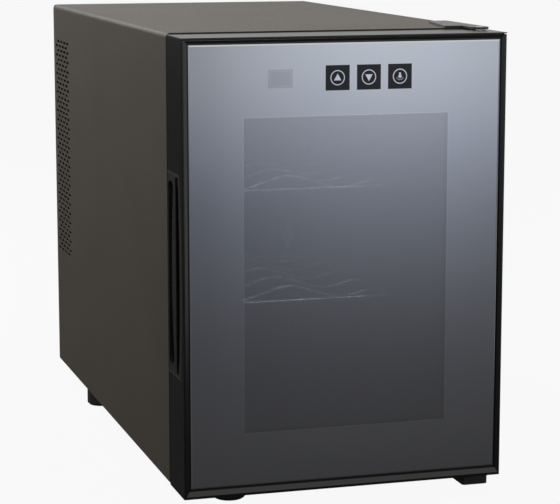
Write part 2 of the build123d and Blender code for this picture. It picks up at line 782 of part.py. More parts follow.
with BuildPart() as lamp_lens:
    slab((-lamp_half, lamp_half), (lamp_y - lamp_width / 2, lamp_y + lamp_width / 2),
         (cavity_top - lamp_depth, cavity_top))
    fillet(lamp_lens.faces().sort_by(Axis.Z)[0].edges(), lamp_wall)
    slab((-lamp_half + lamp_wall, lamp_half - lamp_wall),
         (lamp_y - lamp_width / 2 + lamp_wall, lamp_y + lamp_width / 2 - lamp_wall),
         (cavity_top - lamp_depth + lamp_wall, cavity_top + 1), Mode.SUBTRACT)
keep(lamp_lens, "lamp_lens")

with BuildPart() as lamp_board:
    slab((-lamp_half + lamp_board_margin, lamp_half - lamp_board_margin),
         (lamp_y - lamp_width / 2 + lamp_board_margin, lamp_y + lamp_width / 2 - lamp_board_margin),
         (cavity_top - lamp_board_sheet, cavity_top))
    with Locations((0, lamp_y, cavity_top - lamp_board_sheet - led[2] / 2)):
        with GridLocations(led_pitch, 0, led_count, 1):
            Box(*led)
keep(lamp_board, "lamp_board")

# ================================================================ shelves
shelf_side = cavity_side - 2 * loose - shelf_wire
shelf_front = cabinet_front + shelf_setback
cradle_bend = 35.0
shoulder_bend = 10.0
cradle_points = [(-shelf_side, 0), (-shoulder_x, shoulder_rise), (-bottle_pitch / 2, -cradle_drop),
                 (0, cradle_rise), (bottle_pitch / 2, -cradle_drop), (shoulder_x, shoulder_rise),
                 (shelf_side, 0)]
cradle_bends = (shoulder_bend, cradle_bend, cradle_bend, cradle_bend, shoulder_bend)
cradle_spacing = (shelf_depth - 2 * cradle_inset) / (cradle_count - 1)


def wire_shelf(z):
    """A welded wire shelf: a rounded frame and wavy cross wires that cradle two bottles."""
    back = shelf_front + shelf_depth
    with BuildPart() as shelf:
        with BuildLine(Plane.XY.offset(z)) as loop:
            FilletPolyline((-shelf_side, shelf_front), (shelf_side, shelf_front), (shelf_side, back),
                           (-shelf_side, back), radius=shelf_corner, close=True)
        with BuildSketch(Plane(origin=loop.line @ 0, z_dir=loop.line % 0)):
            Circle(shelf_wire)
        sweep()
        for number in range(cradle_count):
            with BuildLine(upright(shelf_front + cradle_inset + number * cradle_spacing)) as wave:
                FilletPolyline(*[(x, z + rise) for x, rise in cradle_points], radius=cradle_bends)
            with BuildSketch(Plane(origin=wave.line @ 0, z_dir=wave.line % 0)):
                Circle(cradle_wire)
            sweep()
    return shelf


for shelf_name, shelf_height in shelf_z.items():
    keep(wire_shelf(shelf_height), f"{shelf_name}_shelf")

# ================================================================ door
opening_side = side - side_lip
opening_low = door_bottom + bottom_lip
opening_high = door_top - side_lip
ledge_front = glass_back + fit
ledge_back = ledge_front + ledge_thickness
grip_z = door_bottom + grip_bottom + grip_height / 2
grip_y = (door_front + grip_front, door_back)
grip_ends = (grip_z - grip_height / 2, grip_z + grip_height / 2)
pocket_y = (door_front + pocket_front, door_front + pocket_rear)
pocket_ends = (grip_ends[0] + pocket_margin, grip_ends[1] - pocket_margin)
pocket_mid_y = pocket_y[0] + pocket_pinch
pocket_corner = 5.0
cup_ends = (pocket_ends[0] - grip_wall, pocket_ends[1] + grip_wall)
cup_front = pocket_y[0] - grip_wall
plug_head = 6.5
plug_head_height = 1.0
plug_body = 5.0
plug_length = 6.0


def grip_outline(clearance):
    """The grip's outline on the side of the door: straight at the back, bowed at the front."""
    low, high = grip_ends[0] - clearance, grip_ends[1] + clearance
    front = grip_y[0] - clearance
    Polyline((front, high), (grip_y[1] + clearance, high), (grip_y[1] + clearance, low), (front, low))
    ThreePointArc((front, low), (front - grip_bow, grip_z), (front, high))


seam_high = door_top - cap_thickness
seam_low = seam_high - cap_seam


def lip_outline(share, depth):
    """A rectangle set in from the door's edges by a share of its lips, at a depth behind its front."""
    low = door_bottom + bottom_lip * share
    high = door_top - side_lip * share
    with BuildSketch(upright(door_front + depth)) as outline:
        with Locations((0, (low + high) / 2)):
            Rectangle(width - 2 * side_lip * share, high - low)
    return outline.sketch


with BuildPart() as door_frame:
    slab((-side, side), (door_front, door_back), (door_bottom, seam_low))
    fillet(door_frame.faces().sort_by(Axis.Y)[0].edges(), front_edge_radius)
    # a cap closes the top over a fine seam
    slab((-side + cap_seam_depth, side - cap_seam_depth),
         (door_front + cap_seam_depth, door_back - cap_seam_depth), (seam_low, seam_high))
    slab((-side, side), (door_front, door_back), (seam_high, door_top))
    # the rear edge beside the hinge is rounded, so that it clears the cabinet as the door turns
    hinge_side_edges = door_frame.edges().filter_by(Axis.Z).group_by(Axis.X)[-1]
    fillet(hinge_side_edges.group_by(Axis.Y)[-1], hinge_edge_radius)
    slab((-opening_side, opening_side), (door_front - 1, door_back + 1), (opening_low, opening_high),
         Mode.SUBTRACT)
    slab((-opening_side, opening_side), (ledge_front, ledge_back), (opening_low, opening_high))
    slab((-opening_side + ledge_width, opening_side - ledge_width), (ledge_front - 1, ledge_back + 1),
         (opening_low + ledge_width, opening_high - ledge_width), Mode.SUBTRACT)
    # the front lip, taller along the bottom, slopes in from its ridge to a channel round the glass
    loft([lip_outline(lip_ridge, 0), lip_outline(lip_foot, lip_slope_depth)], ruled=True, mode=Mode.SUBTRACT)
    extrude(lip_outline(lip_foot, -1), amount=-(lip_channel_depth + 1), mode=Mode.SUBTRACT)
    # seat of the finger grip, and the hole that its cup goes through
    with BuildSketch(Plane.YZ.offset(-side - 1)):
        with BuildLine():
            grip_outline(loose)
        make_face()
    extrude(amount=grip_plate + 1, mode=Mode.SUBTRACT)
    slab((-side, -opening_side + 1), (cup_front - fit, door_back + 1),
         (cup_ends[0] - fit, cup_ends[1] + fit), Mode.SUBTRACT)
    # hinge bushes on the right, plugged holes on the left for a door hung the other way
    post(hinge_x, hinge_y, (door_top - bush_flange, door_top + 1), bush_flange_radius, Mode.SUBTRACT)
    for end, inward in ((door_bottom, 1), (door_top, -1)):
        post(hinge_x, hinge_y, sorted((end - inward, end + inward * insert_height)), bush_radius,
             Mode.SUBTRACT)
        post(-hinge_x, hinge_y, sorted((end - inward, end + inward * (side_lip + bottom_lip))), plug_body,
             Mode.SUBTRACT)
        post(-hinge_x, hinge_y, sorted((end - inward, end + inward * plug_head_height)), plug_head,
             Mode.SUBTRACT)
keep(door_frame, "door_frame")

with BuildPart() as door_glass:
    slab((-glass_side, glass_side), (glass_front, glass_back), (glass_bottom, glass_top))
    glass_face = door_glass.faces().sort_by(Axis.Y)[0]
    chamfer(glass_face.edges(), glass_bevel, glass_bevel_depth, reference=glass_face)
keep(door_glass, "door_glass")

spacer_side = window_side + spacer_margin
spacer_low = window_low - spacer_margin
spacer_high = window_high + spacer_margin
pane_side = spacer_side + spacer_width
pane_low = spacer_low - spacer_width
pane_high = spacer_high + spacer_width

with BuildPart() as glazing_spacer:
    slab((-pane_side, pane_side), (glass_back, pane_front), (pane_low, pane_high))
    slab((-spacer_side, spacer_side), (glass_back - 1, pane_front + 1), (spacer_low, spacer_high),
         Mode.SUBTRACT)
keep(glazing_spacer, "glazing_spacer")

with BuildPart() as inner_pane:
    slab((-pane_side, pane_side), (pane_front, pane_back), (pane_low, pane_high))
keep(inner_pane, "inner_pane")

reveal_side = spacer_side + reveal_margin
reveal_low = spacer_low - reveal_margin
reveal_high = spacer_high + reveal_margin
magnet_inset = (gasket_width - magnet_width) / 2

with BuildPart() as door_panel:
    slab((-opening_side + fit, opening_side - fit), (panel_front, door_back),
         (opening_low + fit, opening_high - fit))
    slab((-reveal_side - reveal_wall, reveal_side + reveal_wall), (pane_back, door_back),
         (reveal_low - reveal_wall, reveal_high + reveal_wall))
    slab((-reveal_side, reveal_side), (pane_back - 1, door_back + 1), (reveal_low, reveal_high),
         Mode.SUBTRACT)
    # groove for the magnets
    with BuildSketch(upright(door_back - magnet_depth)):
        with Locations((0, (strike_low + strike_high) / 2)):
            Rectangle(2 * (strike_outer - magnet_inset), strike_high - strike_low - 2 * magnet_inset)
            Rectangle(2 * (strike_outer - magnet_inset - magnet_width),
                      strike_high - strike_low - 2 * (magnet_inset + magnet_width), mode=Mode.SUBTRACT)
    extrude(amount=-magnet_depth - 1, mode=Mode.SUBTRACT)
    # notch for the cup of the grip
    slab((-side, -side + grip_depth + grip_wall + fit), (panel_front - 1, door_back + 1),
         (cup_ends[0] - fit, cup_ends[1] + fit), Mode.SUBTRACT)
keep(door_panel, "door_panel")

with BuildPart() as gasket_magnets:
    with BuildSketch(upright(door_back - magnet_depth)):
        with Locations((0, (strike_low + strike_high) / 2)):
            Rectangle(2 * (strike_outer - magnet_inset - fit),
                      strike_high - strike_low - 2 * (magnet_inset + fit))
            Rectangle(2 * (strike_outer - magnet_inset - magnet_width + fit),
                      strike_high - strike_low - 2 * (magnet_inset + magnet_width - fit),
                      mode=Mode.SUBTRACT)
    extrude(amount=-magnet_depth)
keep(gasket_magnets, "gasket_magnets")

with BuildPart() as door_gasket:
    with BuildSketch(upright(door_back)):
        with Locations((0, (strike_low + strike_high) / 2)):
            Rectangle(2 * strike_outer, strike_high - strike_low)
            Rectangle(2 * (strike_outer - gasket_width), strike_high - strike_low - 2 * gasket_width,
                      mode=Mode.SUBTRACT)
    extrude(amount=-(gasket_face - door_back))
keep(door_gasket, "door_gasket")

# touch controls
key_places = [key_first + number * key_pitch for number in range(key_count)]
key_z = door_bottom + key_centre
display_x, display_up = display_centre
display_z = door_bottom + display_up
board_margin = 4.0
control_x = (display_x - display_width / 2 - board_margin, key_places[-1] + key_size / 2 + board_margin)
control_z = (key_z - key_size / 2 - board_margin, key_z + key_size / 2 + board_margin)
control_front = glass_back + key_depth
control_back = control_front + board_thickness

with BuildPart() as touch_pads:
    for place in key_places:
        slab((place - key_size / 2, place + key_size / 2), (glass_back, control_front),
             (key_z - key_size / 2, key_z + key_size / 2))
keep(touch_pads, "touch_pads")

with BuildPart() as display_module:
    slab((display_x - display_width / 2, display_x + display_width / 2), (glass_back, control_front),
         (display_z - display_height / 2, display_z + display_height / 2))
keep(display_module, "display_module")

with BuildPart() as control_board:
    slab(control_x, (control_front, control_back), control_z)
keep(control_board, "control_board")

foam_control_gap = 3.0

with BuildPart() as door_foam:
    slab((-opening_side + fit, opening_side - fit), (ledge_back, panel_front),
         (opening_low + fit, opening_high - fit))
    slab((-pane_side - fit, pane_side + fit), (ledge_back - 1, pane_back),
         (pane_low - fit, pane_high + fit), Mode.SUBTRACT)
    slab((-reveal_side - reveal_wall - fit, reveal_side + reveal_wall + fit),
         (pane_back - 1, panel_front + 1),
         (reveal_low - reveal_wall - fit, reveal_high + reveal_wall + fit), Mode.SUBTRACT)
    slab((control_x[0] - foam_control_gap, control_x[1] + foam_control_gap),
         (ledge_back - 1, control_back), (control_z[0] - foam_control_gap, control_z[1] + foam_control_gap),
         Mode.SUBTRACT)
    slab((-side, -side + grip_depth + grip_wall + fit), (cup_front - fit, panel_front + 1),
         (cup_ends[0] - fit, cup_ends[1] + fit), Mode.SUBTRACT)
    for end, inward in ((door_bottom, 1), (door_top, -1)):
        post(hinge_x, hinge_y, sorted((end, end + inward * insert_height)), bush_radius, Mode.SUBTRACT)
        post(-hinge_x, hinge_y, sorted((end, end + inward * (plug_head_height + plug_length))),
             plug_body, Mode.SUBTRACT)
keep(door_foam, "door_foam")

with BuildPart() as door_grip:
    with BuildSketch(Plane.YZ.offset(-side)):
        with BuildLine():
            grip_outline(0)
        make_face()
    extrude(amount=grip_plate)
    slab((-side, -side + grip_depth + grip_wall), (cup_front, door_back), cup_ends)
    # scoop in front of the bar
    scoop_back = pocket_y[0] - grip_bar
    with BuildSketch(Plane.YZ.offset(-side - 1)):
        with BuildLine():
            front = grip_y[0] + scoop_rim
            low, high = grip_ends[0] + scoop_rim, grip_ends[1] - scoop_rim
            Polyline((front, high), (scoop_back, high), (scoop_back, low), (front, low))
            ThreePointArc((front, low), (front - scoop_bow, grip_z), (front, high))
        make_face()
    extrude(amount=scoop_depth + 1, mode=Mode.SUBTRACT)
    # finger pocket, pinched at mid-height
    with BuildSketch(Plane.YZ.offset(-side - 1)) as pocket_outline:
        with BuildLine():
            Polyline((pocket_y[0], pocket_ends[1]), (pocket_y[1], pocket_ends[1]),
                     (pocket_y[1], pocket_ends[0]), (pocket_y[0], pocket_ends[0]))
            ThreePointArc((pocket_y[0], pocket_ends[0]), (pocket_mid_y, grip_z),
                          (pocket_y[0], pocket_ends[1]))
        make_face()
        fillet(pocket_outline.vertices(), pocket_corner)
    extrude(amount=grip_depth + 1, mode=Mode.SUBTRACT)
    # screw holes at both ends of the scoop
    grip_screw_y = (grip_y[0] + scoop_rim + scoop_back) / 2
    grip_screw_ends = (grip_ends[0] + grip_screw_margin, grip_ends[1] - grip_screw_margin)
    for screw_z in grip_screw_ends:
        with Locations((-side + grip_plate / 2, grip_screw_y, screw_z)):
            Cylinder(grip_screw, 2 * grip_plate, rotation=(0, 90, 0), mode=Mode.SUBTRACT)
keep(door_grip, "door_grip")

with BuildPart() as grip_screws:
    for screw_z in grip_screw_ends:
        with Locations((-side + (scoop_depth + grip_plate) / 2, grip_screw_y, screw_z)):
            Cylinder(grip_screw, grip_plate - scoop_depth, rotation=(0, 90, 0))
keep(grip_screws, "grip_screws")

with BuildPart() as hole_plugs:
    for end, inward in ((door_bottom, 1), (door_top, -1)):
        post(-hinge_x, hinge_y, sorted((end, end + inward * plug_head_height)), plug_head)
        post(-hinge_x, hinge_y, sorted((end, end + inward * (plug_head_height + plug_length))), plug_body)
keep(hole_plugs, "hole_plugs")

# ================================================================ hinges
for bush_name, end, inward in (("lower_hinge_bush", door_bottom, 1), ("upper_hinge_bush", door_top, -1)):
    with BuildPart() as bush:
        post(hinge_x, hinge_y, sorted((end, end + inward * insert_height)), bush_radius)
        post(hinge_x, hinge_y, (end - bush_flange, end), bush_flange_radius)
        post(hinge_x, hinge_y, sorted((end - 2 * inward, end + inward * (insert_height + 1))),
             pin_radius + pin_fit, Mode.SUBTRACT)
    keep(bush, bush_name)

with BuildPart() as upper_hinge_plate:
    with BuildSketch(Plane.XY.offset(cabinet_top)):
        with BuildLine():
            Polyline((plate_left, cabinet_front), (plate_right, cabinet_front), (plate_right, plate_back),
                     (plate_left + plate_slant, plate_back), close=True)
        make_face()
        with Locations((hinge_x, (hinge_y + cabinet_front + tongue_overlap) / 2)):
            Rectangle(2 * tongue_half, cabinet_front + tongue_overlap - hinge_y)
        with Locations((hinge_x, hinge_y)):
            Circle(tongue_half)
    extrude(amount=hinge_plate)
    fillet(upper_hinge_plate.edges().filter_by(Axis.Z).group_by(Axis.Y)[-1], plate_corner)
    for screw_x, screw_y in hinge_screws:
        post(screw_x, screw_y, (cabinet_top - 1, cabinet_top + hinge_plate), screw_radius, Mode.SUBTRACT)
        with Locations((screw_x, screw_y, cabinet_top + hinge_plate - screw_head_height / 2)):
            Cone(screw_radius, screw_head, screw_head_height, mode=Mode.SUBTRACT)
    post(hinge_x, hinge_y, (cabinet_top - 1, cabinet_top + hinge_plate + 1), pin_radius, Mode.SUBTRACT)
keep(upper_hinge_plate, "upper_hinge_plate")

with BuildPart() as upper_hinge_pin:
    post(hinge_x, hinge_y, (door_top - pin_length, cabinet_top + hinge_plate), pin_radius)
keep(upper_hinge_pin, "upper_hinge_pin")

with BuildPart() as upper_hinge_screws:
    for screw_x, screw_y in hinge_screws:
        post(screw_x, screw_y, (ceiling - screw_grip, cabinet_top + hinge_plate), screw_radius)
        with Locations((screw_x, screw_y, cabinet_top + hinge_plate - screw_head_height / 2)):
            Cone(screw_radius, screw_head, screw_head_height)
keep(upper_hinge_screws, "upper_hinge_screws")

with BuildPart() as lower_hinge_block:
    slab((block_left, side), block_y, (block_floor_gap, door_bottom - bush_flange - loose))
    slab((block_left, side), (cabinet_front, block_y[1]), (block_floor_gap, cabinet_bottom))
    fillet(lower_hinge_block.edges().filter_by(Axis.Z).group_by(Axis.Y)[0], block_edge_radius)
    for screw_y in block_screw_y:
        post(hinge_x, screw_y, (block_floor_gap - 1, cabinet_bottom + 1), screw_radius, Mode.SUBTRACT)
        post(hinge_x, screw_y, (block_floor_gap - 1, cabinet_bottom / 2), screw_head, Mode.SUBTRACT)
    post(hinge_x, hinge_y, (cabinet_bottom / 2, door_bottom), pin_radius, Mode.SUBTRACT)
keep(lower_hinge_block, "lower_hinge_block")

with BuildPart() as lower_hinge_pin:
    post(hinge_x, hinge_y, (cabinet_bottom / 2, door_bottom + pin_length), pin_radius)
keep(lower_hinge_pin, "lower_hinge_pin")

# the same screws hold the lower hinge block and the rear feet
with BuildPart() as base_screw_set:
    for screw_x, screw_y in base_screws:
        post(screw_x, screw_y, (cabinet_bottom / 2 - screw_head_height, cabinet_bottom / 2), screw_head)
        post(screw_x, screw_y, (cabinet_bottom / 2, base_top + screw_grip), screw_radius)
keep(base_screw_set, "base_screws")

# ================================================================ feet
foot_disc_top = door_bottom - foot_top_gap

with BuildPart() as foot_inserts:
    for foot_x, foot_y in front_feet.values():
        post(foot_x, foot_y, (base_top, base_top + insert_height), insert_radius)
        post(foot_x, foot_y, (base_top - 1, base_top + insert_height + 1), stem_radius + pin_fit,
             Mode.SUBTRACT)
keep(foot_inserts, "foot_inserts")

for foot_name, (foot_x, foot_y) in front_feet.items():
    with BuildPart() as front_foot:
        post(foot_x, foot_y, (0, foot_disc_top), foot_radius)
        fillet(front_foot.faces().sort_by(Axis.Z)[0].edges(), foot_edge_radius)
        fillet(front_foot.faces().sort_by(Axis.Z)[-1].edges(), foot_edge_radius / 3)
        post(foot_x, foot_y, (foot_disc_top, base_top + insert_height - 1), stem_radius)
    keep(front_foot, foot_name)

for foot_name, (foot_x, foot_y) in rear_feet.items():
    with BuildPart() as rear_foot:
        post(foot_x, foot_y, (0, cabinet_bottom), foot_radius)
        chamfer(rear_foot.faces().sort_by(Axis.Z)[0].edges(), 2)
        post(foot_x, foot_y, (-1, cabinet_bottom / 2), screw_head + 1, Mode.SUBTRACT)
        post(foot_x, foot_y, (0, cabinet_bottom + 1), screw_radius, Mode.SUBTRACT)
    keep(rear_foot, foot_name)
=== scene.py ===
"""The finish of a countertop wine cooler, in a plain studio.

The part gets its materials, a moulded seal, cross-head screws, printed key signs and, in its grip's scoop, a
black pad that paints in shade.
"""

import json
import math

import bmesh
import bpy
from mathutils import Matrix, Vector

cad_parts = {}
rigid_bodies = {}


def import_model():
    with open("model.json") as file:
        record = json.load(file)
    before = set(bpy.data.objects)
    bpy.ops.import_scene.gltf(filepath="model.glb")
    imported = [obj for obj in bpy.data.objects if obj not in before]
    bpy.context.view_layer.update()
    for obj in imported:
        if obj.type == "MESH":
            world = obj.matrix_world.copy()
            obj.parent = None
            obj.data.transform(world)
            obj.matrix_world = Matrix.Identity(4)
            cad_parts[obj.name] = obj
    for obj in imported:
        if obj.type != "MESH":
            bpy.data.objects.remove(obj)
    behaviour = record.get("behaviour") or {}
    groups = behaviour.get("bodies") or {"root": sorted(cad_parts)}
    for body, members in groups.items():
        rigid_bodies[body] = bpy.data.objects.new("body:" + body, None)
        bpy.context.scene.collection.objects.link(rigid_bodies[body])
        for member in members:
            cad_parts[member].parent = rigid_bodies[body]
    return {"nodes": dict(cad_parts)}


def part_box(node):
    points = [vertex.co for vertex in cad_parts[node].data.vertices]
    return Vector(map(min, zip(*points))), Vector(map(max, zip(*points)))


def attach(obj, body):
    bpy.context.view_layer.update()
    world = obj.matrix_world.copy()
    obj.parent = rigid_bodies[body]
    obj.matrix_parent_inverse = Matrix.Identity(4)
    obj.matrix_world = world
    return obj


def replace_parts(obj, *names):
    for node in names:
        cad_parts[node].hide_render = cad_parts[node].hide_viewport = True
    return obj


MM = 0.001

# an empty scene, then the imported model
for default in list(bpy.data.objects):
    bpy.data.objects.remove(default)
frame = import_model()
bpy.context.view_layer.update()

glass_low, glass_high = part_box("door_glass")
pads_low, pads_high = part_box("touch_pads")
display_low, display_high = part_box("display_module")
pane_low, pane_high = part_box("inner_pane")
grip_low, grip_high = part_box("door_grip")


# ---------------------------------------------------------------- node and colour helpers
def linear(code):
    """An sRGB hex colour as linear RGBA."""
    parts = [int(code[i : i + 2], 16) / 255 for i in (1, 3, 5)]
    return [c / 12.92 if c <= 0.04045 else ((c + 0.055) / 1.055) ** 2.4 for c in parts] + [1.0]


def feed(node, inputs):
    """Sets a node's sockets, by name or number, to values or to what other nodes give."""
    for socket, value in inputs.items():
        if isinstance(value, bpy.types.Node):
            value = value.outputs[0]
        if isinstance(value, bpy.types.NodeSocket):
            node.id_data.links.new(value, node.inputs[socket])
        else:
            node.inputs[socket].default_value = value


def add(tree, kind, inputs=None, **settings):
    """Adds a shader node with its settings, and feeds its sockets."""
    node = tree.nodes.new("ShaderNode" + kind)
    for name, value in settings.items():
        setattr(node, name, value)
    feed(node, inputs or {})
    return node


def start(name, colour, roughness, **sockets):
    """A material with one Principled surface, and Object coordinates for its patterns."""
    made = bpy.data.materials.new(name)
    made.use_nodes = True
    tree = made.node_tree
    surface = tree.nodes["Principled BSDF"]
    feed(surface, {"Base Color": linear(colour), "Roughness": roughness})
    feed(surface, {socket.replace("_", " "): value for socket, value in sockets.items()})
    return made, tree, surface, add(tree, "TexCoord").outputs["Object"]


# ---------------------------------------------------------------- finishes
def grained(name, dark, light, roughness, cloud_mm, grain_mm, relief_mm, wander=0.12,
            drawn=(1, 1, 1), **sockets):
    """A surface whose colour drifts in clouds, and whose gloss and relief follow a finer grain.

    wander is how far the roughness strays as a share of itself, and drawn lengthens the grain along an axis.
    """
    made, tree, surface, place = start(name, dark, roughness, **sockets)
    cloud = add(tree, "TexNoise", {"Vector": place, "Scale": 1 / (cloud_mm * MM), "Detail": 3.0})
    share = add(tree, "MapRange", {"Value": cloud, **NOISE_SPREAD})
    tone = add(tree, "Mix", {0: share, 6: linear(dark), 7: linear(light)}, data_type="RGBA")
    along = add(tree, "Mapping", {"Vector": place, "Scale": [1 / length for length in drawn]})
    grain = add(tree, "TexNoise", {"Vector": along, "Scale": 1 / (grain_mm * MM), "Detail": 1.0})
    strayed = {"To Min": roughness * (1 - wander), "To Max": roughness * (1 + wander)}
    gloss = add(tree, "MapRange", {"Value": grain, **NOISE_SPREAD, **strayed})
    raised = add(tree, "Bump", {"Height": grain, "Distance": relief_mm * MM, "Strength": 1.0})
    feed(surface, {"Base Color": tone.outputs[2], "Roughness": gloss, "Normal": raised})
    return made


NOISE_SPREAD = {"From Min": 0.3, "From Max": 0.7}  # nearly all of a noise texture's values lie between these


def zinc_crystals(name):
    """Hot-dip galvanised sheet: grey zinc crystals 6 mm across that shine differently."""
    made, tree, surface, place = start(name, "#aeb3b5", 0.4, Metallic=1.0)
    crystals = add(tree, "TexVoronoi", {"Vector": place, "Scale": 1 / (6 * MM)})
    share = add(tree, "SeparateColor", {"Color": crystals.outputs["Color"]})
    tone = add(tree, "Mix", {0: share, 6: linear("#9da3a6"), 7: linear("#c3c8ca")}, data_type="RGBA")
    rough = add(tree, "MapRange", {"Value": share, "To Min": 0.3, "To Max": 0.5})
    feed(surface, {"Base Color": tone.outputs[2], "Roughness": rough})
    return made


def solder_masked(name):
    """A circuit board: green solder mask over copper tracks a millimetre wide, round cells of 5 mm."""
    made, tree, surface, place = start(name, "#1d5a36", 0.35, Coat_Weight=0.3)
    cells = add(tree, "TexVoronoi", {"Vector": place, "Scale": 1 / (5 * MM)}, feature="DISTANCE_TO_EDGE")
    track = add(tree, "Math", {0: cells, 1: TRACK_SHARE}, operation="LESS_THAN")
    tone = add(tree, "Mix", {0: track, 6: linear("#174a2c"), 7: linear("#2f7d4b")}, data_type="RGBA")
    raised = add(tree, "Bump", {"Height": track, "Distance": COPPER_FOIL, "Strength": 1.0})
    feed(surface, {"Base Color": tone.outputs[2], "Normal": raised})
    return made


TRACK_SHARE = 0.1  # half a track's width as a share of a cell
COPPER_FOIL = 0.035 * MM


def banded(name, dark, light, pitch_mm, direction, relief_mm=0.0):
    """Turns of tape or the prisms of a diffuser: bands at an even pitch."""
    made, tree, surface, place = start(name, dark, 0.4)
    inputs = {"Vector": place, "Scale": 1 / (pitch_mm * MM) / WAVES_PER_UNIT, "Distortion": 0.4}
    bands = add(tree, "TexWave", inputs, bands_direction=direction).outputs["Fac"]
    tone = add(tree, "Mix", {0: bands, 6: linear(dark), 7: linear(light)}, data_type="RGBA")
    raised = add(tree, "Bump", {"Height": bands, "Distance": relief_mm * MM, "Strength": 1.0})
    feed(surface, {"Base Color": tone.outputs[2], "Normal": raised})
    return made


WAVES_PER_UNIT = 20 / math.tau  # a wave texture of scale 1 has this many bands in a unit


def float_glass(name):
    """The inner pane of the glazing: clear glass that shows as a faint sheen with a trace of green."""
    made, tree, surface, place = start(name, "#cfd8d2", 0.02, Alpha=0.1)
    smear = add(tree, "TexNoise", {"Vector": place, "Scale": 1 / (60 * MM), "Detail": 2.0})
    feed(surface, {"Roughness": add(tree, "MapRange", {"Value": smear, "To Min": 0.01, "To Max": 0.06})})
    return made


def gloss_with_satin_cap(name):
    """Moulded ABS: black and glossy with a polished mould's slight ripple, and a satin cap along the top."""
    made = grained(name, "#141412", "#181816", GLOSS_ROUGHNESS, 45, 2.5, 0.004)
    tree = made.node_tree
    at = add(tree, "SeparateXYZ", {"Vector": add(tree, "TexCoord").outputs["Object"]}).outputs
    edge = {"Value": at["Z"], "From Min": CAP_LOW - PRINT_EDGE, "From Max": CAP_LOW + PRINT_EDGE}
    edge.update({"To Min": GLOSS_ROUGHNESS, "To Max": SATIN_ROUGHNESS})
    feed(tree.nodes["Principled BSDF"], {"Roughness": add(tree, "MapRange", edge)})
    return made


GLOSS_ROUGHNESS = 0.2
SATIN_ROUGHNESS = 0.4


def bow_radius(length, bow):
    """The radius of an arc that rises by bow over a chord of a length."""
    return (length ** 2 / 4 + bow ** 2) / (2 * bow)


def painted_rim_highlight(name):
    """Satin ABS for the grip, with a painted highlight: a paler line under a millimetre wide along its
    plate's rim.
    """
    made = grained(name, "#1e1d1b", "#232220", 0.3, 45, 1.0, 0.01)
    tree = made.node_tree
    surface = tree.nodes["Principled BSDF"]
    place = add(tree, "TexCoord").outputs["Object"]
    at = add(tree, "SeparateXYZ", {"Vector": place}).outputs
    middle_z = (grip_low.z + grip_high.z) / 2
    radius = bow_radius(grip_high.z - grip_low.z, GRIP_BOW)
    # distances inside the bowed front edge, and inside the two ends
    centre = (0, grip_low.y + radius, middle_z)
    from_centre = add(tree, "VectorMath", {0: place, 1: centre}, operation="SUBTRACT")
    flat = add(tree, "VectorMath", {0: from_centre, 1: (0, 1, 1)}, operation="MULTIPLY")
    reach = add(tree, "VectorMath", {0: flat}, operation="LENGTH").outputs["Value"]
    from_front = add(tree, "Math", {0: radius, 1: reach}, operation="SUBTRACT")
    off_middle = add(tree, "Math", {0: at["Z"], 1: middle_z}, operation="SUBTRACT")
    off_middle = add(tree, "Math", {0: off_middle}, operation="ABSOLUTE")
    from_end = add(tree, "Math", {0: grip_high.z - middle_z, 1: off_middle}, operation="SUBTRACT")
    inside = add(tree, "Math", {0: from_front, 1: from_end}, operation="MINIMUM")
    # the painted highlight: a paler band along the rim, fading in towards the edge
    fading = {"From Min": HIGHLIGHT_WIDTH + HIGHLIGHT_FADE, "From Max": HIGHLIGHT_WIDTH}
    rim = add(tree, "MapRange", {"Value": inside, **fading})
    on_plate = add(tree, "Math", {0: at["X"], 1: grip_low.x + HIGHLIGHT_DEPTH}, operation="LESS_THAN")
    mask = add(tree, "Math", {0: rim, 1: on_plate}, operation="MULTIPLY")
    plain = surface.inputs["Base Color"].links[0].from_socket
    tone = add(tree, "Mix", {0: mask, 6: plain, 7: linear(RIM_HIGHLIGHT_COLOUR)}, data_type="RGBA")
    feed(surface, {"Base Color": tone.outputs[2]})
    return made


def upright_mask(tree, at, low, high):
    """1 inside an upright rectangle of the door and 0 outside it, from the x and z of two corners."""
    sides = []
    for axis, first, last in (("X", low[0], high[0]), ("Z", low[1], high[1])):
        away = add(tree, "Math", {0: at[axis], 1: (first + last) / 2}, operation="SUBTRACT")
        away = add(tree, "Math", {0: away}, operation="ABSOLUTE")
        half = (last - first) / 2
        edge = {"Value": away, "From Min": half + PRINT_EDGE, "From Max": half - PRINT_EDGE}
        sides.append(add(tree, "MapRange", edge))
    return add(tree, "Math", dict(enumerate(sides)), operation="MULTIPLY")


def mirror_coated(name):
    """Tempered glass with a thin metal coat that mirrors about half the light.

    The coat is thinner over the window, so the shelves show faintly, and over the display.
    """
    made, tree, surface, place = start(name, "#a9adb4", 0.1, Metallic=1.0)
    at = add(tree, "SeparateXYZ", {"Vector": place}).outputs
    tone = linear(BEVEL_COLOUR)
    for low, high, inset, colour in COAT_ZONES:
        mask = upright_mask(tree, at, [v + inset for v in low], [v - inset for v in high])
        tone = add(tree, "Mix", {0: mask, 6: tone, 7: linear(colour)}, data_type="RGBA").outputs[2]
    window = upright_mask(tree, at, WINDOW_LOW, WINDOW_HIGH)
    clear = add(tree, "MapRange", {"Value": window, "To Min": 1.0, "To Max": 1.0 - WINDOW_CLEARNESS})
    smear = add(tree, "TexNoise", {"Vector": place, "Scale": 1 / (40 * MM), "Detail": 3.0})
    rough = add(tree, "MapRange", {"Value": smear, **NOISE_SPREAD, "To Min": 0.07, "To Max": 0.1})
    feed(surface, {"Base Color": tone, "Alpha": clear, "Roughness": rough})
    return made


